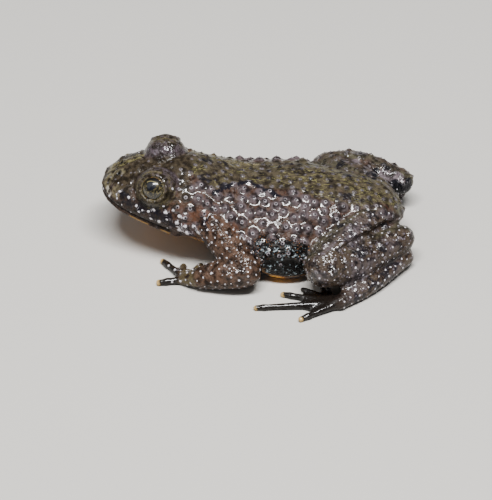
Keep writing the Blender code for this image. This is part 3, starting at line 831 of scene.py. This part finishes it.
# The skin's colours, lowest layer first: its name, what each share of it follows (from where, to where
# and how much at most), and its colour, or the two that are mottled together
skinLayers = (
    ("brown ground", (), ("#1b1310", "#4f3f37")),
    ("purplish grey warts", (("wartPart", 1.15, 0.65, 1), ("flankWarts", 0, 1, 1)), ("#241d1d", "#5b5052")),
    ("rust in the valleys", (("flankWarts", 0, 1, 1), ("wartPart", 0.8, 1.1, 1), ("fine", 0.52, 0.62, 0.5)),
     "#4f2e1e"),
    ("olive back", (("back", 0, 1, 1), ("blotch", 0.25, 0.38, 1)), ("#25201a", "#4b4335")),
    ("olive of the inner legs", (("olive", 0, 1, 1), ("blotch", 0.3, 0.45, 0.85)), ("#29251b", "#4d4a3a")),
    ("yellow-green streaks", (("back", 0, 1, 1), ("streak", 0.02, 0.008, 0.75), ("blotch", 0.4, 0.5, 1)),
     "#847d50"),
    ("dark and lilac warts", (("back", 0, 1, 1), ("wartPart", 0.9, 0.65, 1), ("fine", 0.35, 0.45, 0.9)),
     ("#1f1a20", "#6e686d")),
    ("olive warts of the far side", (("farBack", 0, 1, 1), ("wartPart", 1.0, 0.75, 1)),
     ("#1b1813", "#453f2f")),
    ("brown legs", (("leg", 0, 1, 1), ("mottle", 0.42, 0.56, 0.8)), "#40362a"),
    # Painted reflection: a lilac sheen in blotches over the wet legs
    ("lilac sheen on the legs, painted reflection", (("leg", 0, 1, 1), ("blotch", 0.48, 0.6, 0.6)), ("#29242a", "#5c5359")),
    ("lilac specks on the legs", (("leg", 0, 1, 1), ("fineSpeck", 0, 1, 0.6)), "#776f7a"),
    # Painted reflection: a mottled lilac sheen on the far leg
    ("lilac sheen on the far leg, painted reflection", (("lilac", 0.35, 0.6, 0.9), ("mottle", 0.35, 0.5, 1)), ("#3f383c", "#74686d")),
    ("olive crown", (("crownSkin", 0, 1, 1),), ("#211b14", "#443b2e")),
    ("dark crown", (("face", 0, 1, 1), ("fleck", 0.52, 0.42, 0.7)), "#1a150f"),
    ("warm arms", (("arm", 0, 1, 0.9),), ("#21160f", "#574235")),
    ("olive wrists", (("wrist", 0, 1, 1), ("mottle", 0.4, 0.55, 0.7)), "#514a2e"),
    ("dark cheeks", (("cheek", 0, 1, 1), ("mottle", 0.4, 0.6, 0.5)), "#231b17"),
    ("rust behind the eye", (("rust", 0, 1, 1), ("mottle", 0.45, 0.6, 0.7)), "#563523"),
    ("purplish domes", (("innerDome", 0, 1, 1),), ("#2a2221", "#4d4248")),
    ("olive lids", (("dome", 0, 1, 1), ("lidAway", 4.3, 3.5, 1)), ("#211b12", "#484030")),
    ("purple cobbles on the lids", (("lidTop", 0, 1, 1), ("fleck", 0.5, 0.56, 0.5)), "#5a5056"),
    ("dark lid creases", (("dome", 0, 1, 1), ("fleck", 0.47, 0.42, 0.7)), "#17120d"),
    ("lid rims",
     (("dome", 0, 1, 1), ("rim", 0.1, 0.03, 0.6), ("lidAway", 3.45, 3.25, 1), ("mottle", 0.42, 0.55, 1)),
     "#655d3e"),
    ("grey lower lid", (("lowerLid", 0.15, 0.7, 0.75),), "#69655e"),
    ("pale olive snout", (("snout", 0.3, 0.7, 0.9), ("mottle", 0.42, 0.58, 0.8)), "#726a50"),
    ("lilac specks on the head",
     (("face", 0, 1, 1), ("speck", 0, 1, 0.6), ("fleck", 0.45, 0.55, 1), ("lidAway", 3.3, 3.9, 1)),
     "#76717a"),
    ("crown streaks", (("crownAway", 0.42, 0.14, 0.7), ("fleck", 0.47, 0.55, 1)), "#7f774e"),
    ("pale snout", (("pale", 0.3, 0.7, 0.85), ("mottle", 0.35, 0.45, 1)), "#a8a092"),
    # Dark blotches and bars broken by flecks, and painted shade behind the jaw and in the armpit
    ("dark bars and painted shade", (("brokenDarkAndShade", 1.9, 2.2, 0.85),), "#100f17"),
    ("cream streaks",
     (("backStreakAway", 0.75, 0.2, 0.7), ("fleck", 0.48, 0.56, 1), ("streak", 0.09, 0.04, 1)), "#9c9067"),
    ("black heel and band", (("heel", 0.4, 0.6, 0.96),), "#0b0b12"),
    ("shoulder fold", (("scallop", 1.4, 1.15, 0.92),), "#0f0e18"),
    ("black low flank", (("lowEdge", 1.5, 1.8, 1),), "#080706"),
    ("rusty specks", (("flank", 0.1, 0.3, 1), ("flank", 1.0, 0.7, 1), ("grain", 0.26, 0.14, 0.9)),
     "#8a5527"),
    ("bluish flecks", (("flank", 0.45, 0.7, 1), ("fleck", 0.56, 0.63, 1), ("fine", 0.4, 0.55, 0.9)),
     "#a3b2b9"),
    ("fiery belly", (("belly", 0, 1, 1),), ("#c07a28", "#e6a63a")),
    ("belly blotches", (("belly", 0, 1, 1), ("blotch", 0.47, 0.53, 1)), "#15171f"),
    ("lip streaks",
     (("mouthBelow", 0.3, 0.4, 1), ("mouthBelow", 0.65, 0.5, 1), ("lipStreak", 0.4, 0.7, 0.8)), "#9a7741"),
    ("mouth line", (("mouthAway", 0.16, 0.08, 1),), "#070506"),
    ("nostrils", (("nostrilAway", 0.42, 0.3, 1),), "#030304"),
    ("fingers and toes", (("digit", 0, 1, 1),), "#171310"),
    ("orange tips", (("digitTip", 0.3, 0.7, 1),), "#c0a066"),
    ("grey tubercles", (("dot", 0, 0.6, 0.75),), "#8b868b"),
    ("white tubercle tips", (("dot", 0.45, 0.95, 0.95),), "#dedadf"),
    # Painted highlight: pale rings round the wart tips, broken up by flecks
    ("pale wart rings, painted highlight", (("ring", 0, 1, 1), ("brokenRingGlint", 0, 1, 0.85)), "#b0a8ae"),
    ("wart tips", (("wartAway", 0.19, 0.12, 1), ("wartNear", 0, 1, 1)), "#0c0a0e"),
)


def wetSkinMaterial():
    # Live amphibian skin under a film of water: dull grey-brown warts, sharp white glints in the valleys
    material, tree, shader = startMaterial("wetWartySkin")
    place = addNode(tree, "TexCoord").outputs["Object"]
    inMm = addNode(tree, "VectorMath", {"operation": "SCALE", "Scale": 1 / mm}, {0: place})
    values = {"place": inMm.outputs[0]}
    for name in painted:
        values[name] = addNode(tree, "Attribute", {"attribute_name": name}).outputs["Fac"]
    for name in ("wart", "dot"):
        centre = addNode(tree, "Attribute", {"attribute_name": name + "Centre"}).outputs["Vector"]
        measure = addNode(tree, "VectorMath", {"operation": "DISTANCE"}, {0: values["place"], 1: centre})
        values[name + "Away"] = measure.outputs["Value"]
    for name, kind, settings, reads in skinPatterns:
        links = {socket: values[source] for socket, source in reads.items()}
        values[name] = addNode(tree, kind, settings, links).outputs[0]

    colour = None
    for name, shares, paints in skinLayers:
        share = None
        for source, start, full, most in shares:
            part = addNode(tree, "MapRange", {1: start, 2: full, 4: most}, {0: values[source]}).outputs[0]
            if share:
                part = addNode(tree, "Math", {"operation": "MULTIPLY"}, {0: share, 1: part}).outputs[0]
            share = part
        over = {7: linear(paints)} if isinstance(paints, str) else {}
        links = {}
        if not over:
            mottled = {"data_type": "RGBA", 6: linear(paints[0]), 7: linear(paints[1])}
            links[7] = addNode(tree, "Mix", mottled, {0: values["spread"]}).outputs[2]
        if not colour:
            colour = links[7]
            continue
        layer = addNode(tree, "Mix", {"data_type": "RGBA", **over}, {0: share, 6: colour, **links})
        layer.label = name
        colour = layer.outputs[2]

    tree.links.new(colour, shader.inputs["Base Color"])
    tree.links.new(values["skinNormal"], shader.inputs["Normal"])
    tree.links.new(values["coatNormal"], shader.inputs["Coat Normal"])
    tree.links.new(values["roughness"], shader.inputs["Roughness"])
    tree.links.new(values["wet"], shader.inputs["Coat Weight"])
    shader.inputs["Specular IOR Level"].default_value = 0.12
    shader.inputs["Coat Roughness"].default_value = 0.08
    shader.inputs["Coat IOR"].default_value = 1.7
    return material


skinMesh.shade_smooth()
skin = addPiece("toadSkin", skinMesh, wetSkinMaterial())
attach(skin, "root")
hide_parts(*fleshNodes)
print("skin dressed")

# Horny spines: a small black cone on each large wart
spineSettings = {"radius": 0.09, "point": 0.018, "height": 0.12, "root": 0.08, "sides": 5}


def makeSpines():
    s = spineSettings
    bm = bmesh.new()
    for index in wartPoints:
        if isHead[index] > 0.3:
            continue
        out = Vector(normals[index])
        base = Vector(places[index]) + out * (s["height"] - s["root"]) / 2
        turn = out.to_track_quat("Z", "Y").to_matrix().to_4x4()
        bmesh.ops.create_cone(bm, cap_ends=True, segments=s["sides"], radius1=s["radius"] * mm,
                              radius2=s["point"] * mm, depth=(s["height"] + s["root"]) * mm,
                              matrix=Matrix.Translation(base * mm) @ turn)
    return meshFrom(bm, "hornySpines")


def hornMaterial():
    # Cornified skin: black and hard with a slight polish
    material, tree, shader = startMaterial("blackHorn")
    place = addNode(tree, "TexCoord").outputs["Object"]
    cloudy = addNode(tree, "TexNoise", {"Scale": 2500.0, "Detail": 2.0}, {"Vector": place}).outputs[0]
    colour = addNode(tree, "Mix", {"data_type": "RGBA", 6: linear("#08070a"), 7: linear("#241d1c")},
                     {0: cloudy}).outputs[2]
    tree.links.new(colour, shader.inputs["Base Color"])
    shader.inputs["Roughness"].default_value = 0.3
    return material


spines = addPiece("hornySpines", makeSpines(), hornMaterial())
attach(spines, "root")
print("spines set")

# Eyes: a round ball with a slightly bulging cornea
eyeSettings = {"bulge": 0.1, "bulgeFrom": 0.55, "around": 72, "rows": 48}


def makeEye(side):
    s = eyeSettings
    look = eyes[side]["look"]
    radius = toad["eyeRadius"]
    bm = bmesh.new()
    bmesh.ops.create_uvsphere(bm, u_segments=s["around"], v_segments=s["rows"], radius=radius)
    mesh = meshFrom(bm, "eye_" + side)
    local = arrayOf(mesh, "co", mesh.vertices) / radius
    attribute = mesh.attributes.new("eyePlace", "FLOAT_VECTOR", "POINT")
    attribute.data.foreach_set("vector", local.astype(np.float32).ravel())
    bulge = s["bulge"] * ease(local[:, 2], s["bulgeFrom"], 1.0)
    moved = local * (radius + bulge)[:, None]
    mesh.vertices.foreach_set("co", moved.ravel())
    sideways = Vector((0, 0, 1)).cross(look).normalized()
    turn = Matrix((sideways, look.cross(sideways), look)).transposed().to_4x4()
    mesh.transform(Matrix.Diagonal((mm, mm, mm, 1)) @ Matrix.Translation(eyes[side]["centre"]) @ turn)
    mesh.shade_smooth()
    return mesh


def eyeMaterial():
    # A living eye: dark iris veined with bronze and gold, under a wet cornea like clear glass
    material, tree, shader = startMaterial("wetEye")
    place = addNode(tree, "Attribute", {"attribute_name": "eyePlace"}).outputs["Vector"]
    parts = addNode(tree, "SeparateXYZ", {}, {0: place}).outputs
    # The pupil is a rounded triangle, flat above and pointing down
    reach = parts[1]
    for across in (0.87, -0.87):
        slope = addNode(tree, "Math", {"operation": "MULTIPLY", 1: across}, {0: parts[0]}).outputs[0]
        down = {"operation": "MULTIPLY_ADD", 1: -0.5}
        slope = addNode(tree, "Math", down, {0: parts[1], 2: slope}).outputs[0]
        reach = addNode(tree, "Math", {"operation": "SMOOTH_MAX", 2: 0.35}, {0: reach, 1: slope}).outputs[0]
    middle = addNode(tree, "VectorMath", {"operation": "MULTIPLY", 1: (1.0, 1.0, 0.0)}, {0: place}).outputs[0]
    middle = addNode(tree, "VectorMath", {"operation": "LENGTH"}, {0: middle}).outputs["Value"]
    reach = addNode(tree, "Math", {"operation": "ADD"}, {0: reach, 1: middle}).outputs[0]
    soft = {"interpolation_type": "SMOOTHSTEP"}
    pupil = addNode(tree, "MapRange", {**soft, 1: 0.60, 2: 0.54}, {0: reach}).outputs[0]
    rim = addNode(tree, "MapRange", {**soft, 1: 0.70, 2: 0.62}, {0: reach}).outputs[0]
    above = addNode(tree, "MapRange", {1: 0.1, 2: 0.25, 4: 0.8}, {0: parts[1]}).outputs[0]
    rim = addNode(tree, "Math", {"operation": "MULTIPLY"}, {0: rim, 1: above}).outputs[0]
    veins = addNode(tree, "TexNoise", {"Scale": 7.0, "Detail": 4.0, "Distortion": 1.2},
                    {"Vector": place}).outputs[0]
    share = addNode(tree, "MapRange", {1: 0.5, 2: 0.62}, {0: veins}).outputs[0]
    lidShade = addNode(tree, "MapRange", {1: 0.4, 2: 0.2}, {0: parts[1]}).outputs[0]
    share = addNode(tree, "Math", {"operation": "MULTIPLY"}, {0: share, 1: lidShade}).outputs[0]
    white = addNode(tree, "MapRange", {1: 0.45, 2: 0.3}, {0: parts[2]}).outputs[0]
    colour = addNode(tree, "Mix", {"data_type": "RGBA", 6: linear("#0b0907"), 7: linear("#5f5535")},
                     {0: share}).outputs[2]
    for share, code in ((rim, "#8f8459"), (pupil, "#060914"), (white, "#1b1512")):
        over = {"data_type": "RGBA", 7: linear(code)}
        colour = addNode(tree, "Mix", over, {0: share, 6: colour}).outputs[2]
    tree.links.new(colour, shader.inputs["Base Color"])
    shader.inputs["Roughness"].default_value = 0.4
    shader.inputs["Specular IOR Level"].default_value = 0.2
    shader.inputs["Coat Weight"].default_value = 1.0
    shader.inputs["Coat Roughness"].default_value = 0.02
    shader.inputs["Coat IOR"].default_value = 1.5
    return material


eyeFinish = eyeMaterial()
for side in eyes:
    eye = addPiece("toadEye_" + side, makeEye(side), eyeFinish)
    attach(eye, "root")
    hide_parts("eye_" + side)
print("eyes set")

# Floor and light: a pale flat studio floor, one soft lamp high on the camera's side, and a weak fill
stageSettings = {
    "floorSize": 3.0,
    "floorColour": "#cbc8c2",
    "worldColour": "#c8ccd2",
    "worldStrength": 0.2,
    "lamps": (
        # name, azimuth, elevation, distance, width, depth, watts
        ("key", 98, 74, 0.45, 0.30, 0.08, 4.5),
        ("fill", 20, 40, 0.60, 0.40, 0.40, 0.4),
    ),
}


def makeStage():
    s = stageSettings
    bm = bmesh.new()
    bmesh.ops.create_grid(bm, x_segments=1, y_segments=1, size=s["floorSize"] / 2)
    material, tree, shader = startMaterial("paleFloor")
    shader.inputs["Base Color"].default_value = linear(s["floorColour"])
    shader.inputs["Roughness"].default_value = 0.8
    floor = addPiece("floor", meshFrom(bm, "floor"), material)
    world = bpy.data.worlds.new("studio")
    world.use_nodes = True
    world.node_tree.nodes["Background"].inputs["Color"].default_value = linear(s["worldColour"])
    world.node_tree.nodes["Background"].inputs["Strength"].default_value = s["worldStrength"]
    bpy.context.scene.world = world
    for name, azimuth, elevation, distance, width, depth, watts in s["lamps"]:
        data = bpy.data.lights.new(name, "AREA")
        data.shape = "RECTANGLE"
        data.size = width
        data.size_y = depth
        data.energy = watts
        lamp = bpy.data.objects.new(name, data)
        back = towards(azimuth, elevation)
        turn = back.to_track_quat("Z", "Y").to_matrix().to_4x4()
        lamp.matrix_world = Matrix.Translation(back * distance) @ turn
        bpy.context.scene.collection.objects.link(lamp)


makeStage()
print("stage lit")
